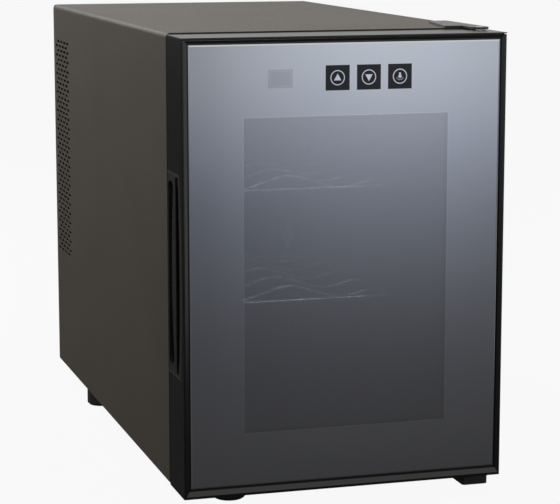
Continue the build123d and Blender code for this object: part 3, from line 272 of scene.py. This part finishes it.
PRINT_EDGE = 0.12 * MM  # how softly a print or a change of finish ends
GRIP_BOW = 5.9 * MM  # the grip's front edge bows out by this much
# the painted highlight along the grip plate's rim: its width, how softly it fades, how deep it reaches, and
# its colour
HIGHLIGHT_WIDTH = 0.7 * MM
HIGHLIGHT_FADE = 0.4 * MM
HIGHLIGHT_DEPTH = 0.6 * MM  # only the plate's outer face gets the painted highlight
RIM_HIGHLIGHT_COLOUR = "#57564e"
CAP_THICKNESS = 1.4 * MM
CAP_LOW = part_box("door_frame")[1].z - CAP_THICKNESS
GLASS_BEVEL = 1.0 * MM
SPACER_WIDTH = 9 * MM  # the spacer's bar and its margin round the window
WINDOW_LOW = (pane_low.x + SPACER_WIDTH, pane_low.z + SPACER_WIDTH)
WINDOW_HIGH = (pane_high.x - SPACER_WIDTH, pane_high.z - SPACER_WIDTH)
WINDOW_CLEARNESS = 0.22
HALO = 0.6 * MM  # the window has a paler line round it
SCREEN_LOW, SCREEN_HIGH = (display_low.x, display_low.z), (display_high.x, display_high.z)
COAT_COLOUR = "#b3b4b8"
BEVEL_COLOUR = "#c8c9cb"
# each zone's lower and upper corner, how far it is set in from them, and its colour
COAT_ZONES = (
    ((glass_low.x, glass_low.z), (glass_high.x, glass_high.z), GLASS_BEVEL, COAT_COLOUR),
    (WINDOW_LOW, WINDOW_HIGH, -HALO, "#bcbdc0"),
    (WINDOW_LOW, WINDOW_HIGH, 0.0, "#b0b1b5"),
    (SCREEN_LOW, SCREEN_HIGH, 0.0, "#a3a4a8"),
    (SCREEN_LOW, SCREEN_HIGH, 1.2 * MM, "#a9aaae"),
    (SCREEN_LOW, SCREEN_HIGH, 1.7 * MM, "#a0a1a5"),
)

materials = {
    # powder coat baked on sheet steel: a satin warm charcoal, with an orange peel about 1.5 mm across
    "cabinet_paint": grained("powder_coated_steel", "#3c352d", "#413a31", 0.6, 70, 1.5, 0.012,
                             Specular_IOR_Level=0.3),
    # hot-dip galvanised sheet: grey crystals, some brighter than others
    "galvanised_steel": zinc_crystals("galvanised_sheet"),
    # polyurethane foam: cream, with cells about a millimetre across
    "foam": grained("polyurethane_foam", "#cdb97f", "#eadfb8", 0.9, 1.2, 1.2, 0.4, 0.0),
    # vacuum-formed polystyrene: dark, smooth and faintly pebbled
    "liner_plastic": grained("vacuum_formed_polystyrene", "#26282a", "#2c2e30", 0.42, 45, 1.2, 0.03),
    # extruded aluminium: silver, with die lines along its length
    "aluminium_cast": grained("extruded_aluminium", "#bfc3c6", "#cdd0d2", 0.34, 20, 2, 0.004, 0.3,
                              (1, 1, 30), Metallic=1.0),
    # fired alumina: chalk white and matt
    "ceramic": grained("alumina_ceramic", "#dedcd4", "#f0efea", 0.6, 2, 0.7, 0.01),
    # glass-filled nylon: near black, with a dull moulded skin
    "fan_plastic": grained("glass_filled_nylon", "#17181a", "#1d1e20", 0.5, 45, 0.8, 0.02),
    # moulded polystyrene: dark grey, with a dull skin
    "duct_plastic": grained("duct_polystyrene", "#222426", "#27292b", 0.45, 45, 0.8, 0.02),
    # bright zinc plate: silver, its shine drifting from place to place
    "screw_steel": grained("zinc_plated_steel", "#b5b8b6", "#c6c9c7", 0.32, 6, 2, 0.003, 0.35, Metallic=1.0),
    # black oxide: a semi-metallic black
    "black_screw": grained("black_oxide_steel", "#161616", "#1f1f1e", 0.35, 8, 0.5, 0.01, Metallic=0.7),
    # solder mask on glass fibre: green, with paler tracks
    "circuit_board": solder_masked("glass_fibre_board"),
    # polyester tape: yellow turns 2 mm apart
    "transformer_tape": banded("polyester_tape", "#cfa832", "#dcb94a", 2.0, "Y"),
    # heat-shrunk sleeve: near black, with soft bands
    "capacitor_sleeve": banded("shrink_sleeve", "#17191d", "#22252b", 9.0, "Y"),
    # phenolic moulding: black and fairly glossy
    "inlet_plastic": grained("phenolic_moulding", "#121212", "#191918", 0.35, 45, 0.8, 0.02),
    # nickel-plated brass: a pale gold shine
    "brass_blade": grained("nickel_plated_brass", "#c4ab6d", "#cfb77b", 0.25, 6, 2, 0.002, 0.3, Metallic=1.0),
    # frosted polycarbonate: white, with prisms 1 mm apart
    "lamp_diffuser": banded("frosted_polycarbonate", "#d3d8dc", "#eef1f3", 1.0, "X", 0.15),
    # chrome plate on drawn wire: a bright mirror, a little sharper or duller from place to place
    "shelf_chrome": grained("chromed_wire", "#cdd0d2", "#d6d9db", 0.28, 20, 2, 0.0, 0.1, Metallic=1.0),
    # polished ABS: black gloss, satin along the top
    "door_plastic": gloss_with_satin_cap("gloss_abs"),
    # coated glass: a grey mirror that the shelves just show through
    "smoked_glass": mirror_coated("mirror_coated_glass"),
    # clear glass: a faint sheen
    "clear_glass": float_glass("float_glass"),
    # butyl and desiccant bar between the panes: matt black
    "spacer_black": grained("butyl_spacer", "#101112", "#17181a", 0.5, 20, 0.8, 0.02),
    # extruded soft PVC: black, with a dusty bloom
    "gasket_rubber": grained("soft_pvc_gasket", "#191919", "#232322", 0.55, 9, 0.6, 0.03),
    # magnet powder in rubber: dull and brownish
    "magnet": grained("rubber_magnet", "#2b2a29", "#343332", 0.6, 20, 0.6, 0.02),
    # satin ABS: a shade paler than the frame, so the grip stands out from the door's side; a painted
    # highlight runs along its plate's rim
    "grip_plastic": painted_rim_highlight("satin_abs"),
    # printed film: black, with a soft shine
    "key_black": grained("key_film", "#0c0d10", "#121317", 0.3, 20, 0.5, 0.002),
    # painted steel: charcoal, satin
    "hinge_paint": grained("painted_hinge_steel", "#2f2f2b", "#343430", 0.45, 30, 1.5, 0.012),
    # acetal: milky, with a waxy skin
    "bush_plastic": grained("acetal", "#cfcbc0", "#dcd8ce", 0.35, 30, 0.8, 0.01),
    # moulded rubber: matt black, with a dusty bloom
    "foot_rubber": grained("foot_rubber", "#101010", "#1b1b1a", 0.55, 9, 0.6, 0.03),
    # ground steel: silver, with grinding lines round its length
    "hinge_steel": grained("ground_steel", "#b2b4b5", "#bec0c1", 0.25, 6, 2, 0.002, 0.3,
                           (1, 1, 12), Metallic=1.0),
}

for node in frame["nodes"].values():
    for place in node.material_slots:
        place.material = materials[place.material.name]

# the prints on the glass: black squares for the keys, and signs in them where the mirror coat is left
key_print = grained("screen_printed_black", "#08090e", "#0c0d13", 0.12, 20, 2, 0.001,
                    Specular_IOR_Level=0.3)
sign_print = grained("mirror_coat_sign", "#bcbdc1", "#c4c5c9", 0.1, 20, 2, 0.0, Metallic=1.0)


# ---------------------------------------------------------------- new pieces
def piece(name, mesh, body, slot_name, finish=None):
    """Makes an object of a finished mesh, on a body, with the finish of a material slot."""
    data = bpy.data.meshes.new(name)
    mesh.to_mesh(data)
    mesh.free()
    made = bpy.data.objects.new(name, data)
    bpy.context.scene.collection.objects.link(made)
    data.materials.append(finish or materials[slot_name])
    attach(made, body)
    return made


def moulded_gasket():
    """The door's seal: a flat foot and two sealing lips with a groove between them, mitred at the corners."""
    low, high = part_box("door_gasket")
    middle_z = (low.z + high.z) / 2
    mesh = bmesh.new()
    first = []
    for inward, height in GASKET_SECTION:
        across = inward * GASKET_WIDTH
        first.append(mesh.verts.new((low.x + across, low.y + height * (high.y - low.y), low.z + across)))
    begin = loop = [mesh.edges.new(ends) for ends in zip(first, first[1:] + first[:1])]
    # each corner's section is the last one's mirror image: across, up, and across again
    for sideways in (True, False, True):
        made = bmesh.ops.extrude_edge_only(mesh, edges=loop)["geom"]
        for vert in (part for part in made if isinstance(part, bmesh.types.BMVert)):
            if sideways:
                vert.co.x = -vert.co.x
            else:
                vert.co.z = 2 * middle_z - vert.co.z
        loop = [part for part in made if isinstance(part, bmesh.types.BMEdge) and len(part.link_faces) == 1]
    bmesh.ops.bridge_loops(mesh, edges=begin + loop)
    bmesh.ops.recalc_face_normals(mesh, faces=mesh.faces)
    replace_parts(piece("sealing_gasket", mesh, "door", "gasket_rubber"), "door_gasket")


GASKET_WIDTH = 12 * MM
# shares of the width, in from the outer edge, and of the depth, off the door
GASKET_SECTION = ((0, 0), (0, 0.45), (0.08, 0.85), (0.2, 1), (0.34, 0.85), (0.42, 0.4), (0.58, 0.4),
                  (0.66, 0.85), (0.8, 1), (0.92, 0.85), (1, 0.45), (1, 0))

moulded_gasket()


def solid_boxes(node_name):
    """The lowest and highest corners of each separate solid in a CAD node."""
    mesh = bmesh.new()
    mesh.from_mesh(frame["nodes"][node_name].data)
    bmesh.ops.remove_doubles(mesh, verts=mesh.verts, dist=0.001 * MM)
    left = set(mesh.verts)
    boxes = []
    while left:
        front = [left.pop()]
        found = []
        while front:
            vert = front.pop()
            found.append(vert.co.copy())
            near = {edge.other_vert(vert) for edge in vert.link_edges} & left
            left -= near
            front.extend(near)
        boxes.append([Vector(side(co[axis] for co in found) for axis in range(3)) for side in (min, max)])
    mesh.free()
    return sorted(boxes, key=lambda box: tuple(box[0]))


def cross_head_screws(node_name, body, slot_name, outwards):
    """Pan-head screws with a cross recess, in the places of a node's plain ones.

    outwards is the way they face. Known fault: the faces that the recess is drawn down from stay on top
    of it as a lid, so it doesn't show.
    """
    outwards = Vector(outwards)
    turn = outwards.to_track_quat("Z", "Y").to_matrix()
    mesh = bmesh.new()
    for low, high in solid_boxes(node_name):
        earlier = set(mesh.verts)
        size = high - low
        length = abs(size.dot(outwards))
        radius = min(size[axis] for axis in range(3) if not outwards[axis]) / 2
        # a grid of nine faces makes the middle of the crown, and rings lead from it down to the shank's end
        half_span = radius * RECESS_REACH
        grid = bmesh.ops.create_grid(mesh, x_segments=3, y_segments=3, size=half_span)["verts"]
        faces = {face for vert in grid for face in vert.link_faces}
        loop = list({edge for face in faces for edge in face.edges if edge.is_boundary})
        rings = [(radius * out, HEAD_HEIGHT * down) for out, down in HEAD_RINGS]
        rings += [(SHANK_RADIUS, HEAD_HEIGHT), (SHANK_RADIUS, length)]
        for reach, depth in rings:
            ring = bmesh.ops.create_circle(mesh, cap_ends=depth > HEAD_HEIGHT, segments=12, radius=reach,
                                           matrix=Matrix.Translation((0, 0, -depth)))["verts"]
            following = list({edge for vert in ring for edge in vert.link_edges})
            bmesh.ops.bridge_loops(mesh, edges=loop + following)
            loop = following
        # the recess is drawn down from the five of the nine that make a plus
        nearest = {face: min(map(abs, face.calc_center_median().xy)) for face in faces}
        plus = [face for face in faces if nearest[face] < radius / 20]
        sunk = bmesh.ops.extrude_face_region(mesh, geom=plus)["geom"]
        floor = [part for part in sunk if isinstance(part, bmesh.types.BMVert)]
        bmesh.ops.translate(mesh, verts=floor, vec=(0, 0, -RECESS_DEPTH))
        bmesh.ops.scale(mesh, verts=floor, vec=(RECESS_TAPER, RECESS_TAPER, 1))
        top = (low + high) / 2 + outwards * length / 2
        new = [vert for vert in mesh.verts if vert not in earlier]
        bmesh.ops.transform(mesh, verts=new, matrix=Matrix.Translation(top) @ turn.to_4x4())
    bmesh.ops.recalc_face_normals(mesh, faces=mesh.faces)
    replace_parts(piece("cross_head_" + node_name, mesh, body, slot_name), node_name)


HEAD_HEIGHT = 1.6 * MM
HEAD_RINGS = ((0.72, 0.1), (0.93, 0.35), (1, 0.7), (1, 1))  # shares of the head's radius and height
SHANK_RADIUS = 2.0 * MM
RECESS_REACH = 0.5  # half the recess's span, as a share of the head's radius
RECESS_DEPTH = 0.9 * MM
RECESS_TAPER = 0.8

cross_head_screws("rear_cover_screws", "cabinet", "black_screw", (0, 1, 0))
cross_head_screws("base_screws", "cabinet", "screw_steel", (0, 0, -1))
cross_head_screws("upper_hinge_screws", "cabinet", "black_screw", (0, 0, 1))


def bowed(front, rear, low, high, bow):
    """An upright outline whose front edge bows out between its ends, as y, z pairs."""
    radius = bow_radius(high - low, bow)
    reach = math.asin((high - low) / 2 / radius)
    pairs = [(rear, high), (rear, low)]
    for step in range(BOW_STEPS + 1):
        angle = reach * (2 * step / BOW_STEPS - 1)
        y = front - bow + radius * (1 - math.cos(angle))
        pairs.append((y, (low + high) / 2 + radius * math.sin(angle)))
    return pairs


BOW_STEPS = 24


def scoop_shade_pad():
    """A black matt pad on the floor of the grip's scoop, between its two screws, that paints in the shade a
    deeper groove would hold.

    Known fault: its face has no normal yet where it is solidified, so both sides lie in the floor's plane.
    """
    mesh = bmesh.new()
    front = grip_low.y + GRIP_BOW + SCOOP_RIM + PAD_BOW - SCOOP_BOW
    rear = grip_low.y + SCOOP_REAR
    outline = bowed(front, rear, grip_low.z + PAD_END, grip_high.z - PAD_END, PAD_BOW)
    mesh.faces.new([mesh.verts.new((grip_low.x + SCOOP_DEPTH, y, z)) for y, z in outline])
    bmesh.ops.solidify(mesh, geom=mesh.faces[:], thickness=PAD_THICKNESS)
    deepest = max(vert.co.x for vert in mesh.verts)
    bmesh.ops.translate(mesh, verts=mesh.verts, vec=(grip_low.x + SCOOP_DEPTH - deepest, 0, 0))
    bmesh.ops.recalc_face_normals(mesh, faces=mesh.faces)
    piece("scoop_shade_pad", mesh, "door", "foot_rubber")


SCOOP_RIM = 2.6 * MM  # between the scoop and the plate's edge
SCOOP_REAR = 16.7 * MM  # from the grip's foremost point
SCOOP_BOW = 2.7 * MM
PAD_BOW = 2.29 * MM  # the scoop's front edge bows by this much between the pad's ends
PAD_END = 8.5 * MM
SCOOP_DEPTH = 1.4 * MM
PAD_THICKNESS = 0.3 * MM  # meant, but without effect
scoop_shade_pad()


# ---------------------------------------------------------------- prints on the glass
def flat_shape(mesh, segments, radius, centre=(0, 0), turned=0.0, stretch=(1, 1)):
    """A flat polygon across x and y. Its first corner points up before it is turned."""
    verts = bmesh.ops.create_circle(mesh, cap_ends=True, segments=segments, radius=radius)["verts"]
    bmesh.ops.rotate(mesh, verts=verts, matrix=Matrix.Rotation(math.radians(turned), 3, "Z"))
    bmesh.ops.scale(mesh, verts=verts, vec=(*stretch, 1))
    bmesh.ops.translate(mesh, verts=verts, vec=(*centre, 0))
    return verts[0].link_faces[0]


def printed(name, mesh, x, z, thickness, slot_name, finish):
    """Gives a flat shape its thickness and stands it on the glass, centred at x and z."""
    bmesh.ops.solidify(mesh, geom=mesh.faces[:], thickness=thickness)
    bmesh.ops.rotate(mesh, verts=mesh.verts, matrix=Matrix.Rotation(math.pi / 2, 3, "X"))
    near = max(vert.co.y for vert in mesh.verts)
    bmesh.ops.translate(mesh, verts=mesh.verts, vec=(x, glass_low.y - near, z))
    bmesh.ops.recalc_face_normals(mesh, faces=mesh.faces)
    return piece(name, mesh, "door", slot_name, finish)


def key_sign(kind):
    """A ring round a triangle that points up or down, or round a lamp with its rays."""
    mesh = bmesh.new()
    disc = flat_shape(mesh, 48, SIGN_RADIUS)
    bmesh.ops.inset_individual(mesh, faces=[disc], thickness=SIGN_STROKE)
    bmesh.ops.delete(mesh, geom=[disc], context="FACES")
    if kind == "lamp":
        flat_shape(mesh, 20, BULB_RADIUS)
        flat_shape(mesh, 4, SOCKET_RADIUS, (0, SOCKET_HEIGHT), 45, (1.0, 1.1))
        for angle in RAY_ANGLES:
            way = Vector((math.cos(math.radians(angle)), math.sin(math.radians(angle))))
            flat_shape(mesh, 3, RAY_RADIUS, way * RAY_REACH, angle - 90)
    elif kind == "up":
        flat_shape(mesh, 3, ARROW_RADIUS, (0, -ARROW_SHIFT))
    else:
        flat_shape(mesh, 3, ARROW_RADIUS, (0, ARROW_SHIFT), 180)
    return mesh


SIGN_RADIUS = 5.6 * MM
SIGN_STROKE = 0.7 * MM
ARROW_RADIUS = 3.3 * MM
ARROW_SHIFT = 0.3 * MM  # centres the triangle in its ring
BULB_RADIUS = 1.3 * MM
SOCKET_RADIUS = 1.0 * MM
SOCKET_HEIGHT = 2.0 * MM
RAY_RADIUS = 0.55 * MM
RAY_REACH = 2.6 * MM
RAY_ANGLES = (-150, -120, -90, -60, -30)
KEY_SIZE = pads_high.z - pads_low.z
KEY_PITCH = (pads_high.x - pads_low.x - KEY_SIZE) / 2
PRINT_THICKNESS = 0.05 * MM
SIGN_THICKNESS = 0.09 * MM

for number, kind in enumerate(("up", "down", "lamp")):
    key_x = pads_low.x + KEY_SIZE / 2 + KEY_PITCH * number
    key_z = (pads_low.z + pads_high.z) / 2
    square = bmesh.new()
    flat_shape(square, 4, KEY_SIZE / math.sqrt(2), turned=45)
    printed(f"key_square_{kind}", square, key_x, key_z, PRINT_THICKNESS, "key_black", key_print)
    printed(f"key_sign_{kind}", key_sign(kind), key_x, key_z, SIGN_THICKNESS, "smoked_glass", sign_print)


# ---------------------------------------------------------------- studio
def studio_floor():
    """The floor: nearly white to the camera, grey in the light it sends back, and shaded for mirror rays."""
    mesh = bmesh.new()
    bmesh.ops.create_grid(mesh, x_segments=1, y_segments=1, size=FLOOR_SIZE / 2)
    data = bpy.data.meshes.new("studio_floor")
    mesh.to_mesh(data)
    mesh.free()
    floor = bpy.data.objects.new("studio_floor", data)
    bpy.context.scene.collection.objects.link(floor)
    made = bpy.data.materials.new("studio_floor")
    made.use_nodes = True
    tree = made.node_tree
    tree.nodes.clear()
    at = add(tree, "SeparateXYZ", {"Vector": add(tree, "TexCoord").outputs["Object"]}).outputs
    rays = add(tree, "LightPath").outputs
    lit = add(tree, "BsdfDiffuse", {"Color": linear("#8c8c8a")})
    white = add(tree, "Emission", {"Color": (1, 1, 1, 1), "Strength": 1.0})
    seen = add(tree, "Math", {0: rays["Is Camera Ray"], 1: FLOOR_WHITENESS}, operation="MULTIPLY")
    shown = add(tree, "MixShader", {0: seen, 1: lit, 2: white})
    # what the glass mirrors: the floor is dim beside the door and brighter far in front of it
    ahead = add(tree, "Math", {0: glass_low.y, 1: at["Y"]}, operation="SUBTRACT")
    ahead = add(tree, "Math", {0: ahead, 1: 0.0}, operation="MAXIMUM")
    beyond = add(tree, "Math", {0: ahead, 1: LIGHT_DISTANCE}, operation="ADD")
    share = add(tree, "Math", {0: ahead, 1: beyond}, operation="DIVIDE")
    fade = add(tree, "ValToRGB", {"Fac": share})
    # and it falls off to both sides of a line that fans out with the distance
    across = add(tree, "Math", {0: at["X"], 1: LIGHT_X}, operation="SUBTRACT")
    slope = add(tree, "Math", {0: across, 1: beyond}, operation="DIVIDE")
    spread = add(tree, "MapRange", {"Value": slope, "From Min": SLOPE_LOW, "From Max": SLOPE_HIGH})
    profile = add(tree, "ValToRGB", {"Fac": spread})
    for ramp, marks in ((fade.color_ramp, FADE), (profile.color_ramp, PROFILE)):
        ramp.interpolation = "B_SPLINE"
        while len(ramp.elements) < len(marks):
            ramp.elements.new(0.5)
        for mark, (position, colour) in zip(ramp.elements, marks):
            mark.position = position
            mark.color = linear(colour) if isinstance(colour, str) else (colour, colour, colour, 1)
    far = add(tree, "MapRange", {"Value": share, "From Max": FALL_OFF_FULL})
    side = add(tree, "Mix", {0: far, 2: 1.0, 3: profile})
    side = add(tree, "Math", {0: side, 1: MIRRORED_STRENGTH}, operation="MULTIPLY")
    # in front and to the right of what the flat glass mirrors, the floor is as pale as it looks
    aside = add(tree, "Math", {0: at["X"], 1: glass_low.x}, operation="SUBTRACT")
    bearing = add(tree, "Math", {0: ahead, 1: aside}, operation="DIVIDE")
    in_front = add(tree, "MapRange", {"Value": bearing, "From Min": BEARING_LOW, "From Max": BEARING_HIGH})
    clear = add(tree, "MapRange", {"Value": slope, "From Min": PALE_FROM, "From Max": PALE_TO})
    clear = add(tree, "Math", {0: clear, 1: in_front}, operation="MULTIPLY")
    strength = add(tree, "Mix", {0: clear, 2: side, 3: BACKDROP})
    colour = add(tree, "Mix", {0: clear, 6: fade, 7: (1, 1, 1, 1)}, data_type="RGBA")
    mirrored = add(tree, "Emission", {"Color": colour.outputs[2], "Strength": strength})
    glossy = add(tree, "MixShader", {0: rays["Is Glossy Ray"], 1: shown, 2: mirrored})
    add(tree, "OutputMaterial", {"Surface": glossy})
    data.materials.append(made)


FLOOR_SIZE = 30.0
FLOOR_WHITENESS = 0.93
# the fan of lines starts this far behind the glass, at this x
LIGHT_DISTANCE = 1.44
LIGHT_X = -0.478
MIRRORED_STRENGTH = 1.3
# what the glass mirrors from near the door to far in front of it, by the share of the way to the horizon
FADE = ((0.0, "#232323"), (0.04, "#484848"), (0.2, "#555557"), (0.35, "#6a6b70"),
        (0.5, "#9499a3"), (0.62, "#bbc2d1"), (0.76, "#f1f8ff"))
# and its strength from left to right, between two slopes of the fan
SLOPE_LOW, SLOPE_HIGH = 0.2, 0.45
PROFILE = ((0.2, 0.46), (0.292, 0.65), (0.528, 1.0), (0.764, 0.93), (0.86, 0.8))
FALL_OFF_FULL = 0.5  # the share of the way at which the fall-off to the sides is full
PALE_FROM, PALE_TO = 0.47, 0.6
BEARING_LOW, BEARING_HIGH = 0.3, 0.45
BACKDROP = 0.94  # the world is as pale as the floor, so that no horizon shows

studio_floor()


def world():
    """An even white surround, which lights the object less than it looks."""
    made = bpy.data.worlds.new("studio")
    bpy.context.scene.world = made
    made.use_nodes = True
    tree = made.node_tree
    tree.nodes.clear()
    rays = add(tree, "LightPath").outputs
    seen = add(tree, "Math", {0: rays["Is Camera Ray"], 1: rays["Is Glossy Ray"]}, operation="MAXIMUM")
    seen = add(tree, "Math", {0: seen, 1: rays["Is Transmission Ray"]}, operation="MAXIMUM")
    strength = add(tree, "MapRange", {"Value": seen, "To Min": AMBIENT, "To Max": BACKDROP})
    shade = add(tree, "Background", {"Color": (1, 1, 1, 1), "Strength": strength})
    add(tree, "OutputWorld", {"Surface": shade})


AMBIENT = 0.25  # the world's share in the light on the object
world()


def soft_lamp(name, spot, aim, size, power):
    """A rectangular softbox at a spot, turned towards its aim."""
    data = bpy.data.lights.new(name, "AREA")
    data.shape = "RECTANGLE"
    data.size, data.size_y = size
    data.energy = power
    lamp = bpy.data.objects.new(name, data)
    bpy.context.scene.collection.objects.link(lamp)
    lamp.location = spot
    lamp.rotation_euler = (Vector(aim) - Vector(spot)).to_track_quat("-Z", "Y").to_euler()


# each lamp's place, aim, size and watts: a large softbox behind and to the left, and a strip over the front
soft_lamp("overhead_softbox", (-0.85, 1.15, 1.4), (0, 0.05, 0.2), (0.9, 0.9), 25)
soft_lamp("overhead_strip", (0.3, -0.45, 1.7), (0.05, -0.25, 0.3), (0.9, 0.5), 6)
# strips just behind the door, one above each shelf
soft_lamp("upper_shelf_light", (0, -0.17, 0.315), (0, -0.12, 0.1), (0.2, 0.06), 0.25)
soft_lamp("lower_shelf_light", (0, -0.165, 0.2), (0, -0.12, 0.05), (0.2, 0.04), 0.1)

# ---------------------------------------------------------------- camera
CAMERA_SPOT = (-0.47826, -1.69337, 0.45439)
CAMERA_TURN = (90 - 9.575, 0.01, -16.5)  # degrees: 9.575 down, 16.5 towards the right

camera_data = bpy.data.cameras.new("camera")
camera_data.sensor_width = 36.0
camera_data.lens = 132.3
camera_data.clip_end = 60.0
camera = bpy.data.objects.new("camera", camera_data)
bpy.context.scene.collection.objects.link(camera)
camera.location = CAMERA_SPOT
camera.rotation_euler = [math.radians(angle) for angle in CAMERA_TURN]
bpy.context.scene.camera = camera

bpy.context.scene.view_settings.view_transform = "Standard"

bpy.context.view_layer.update()
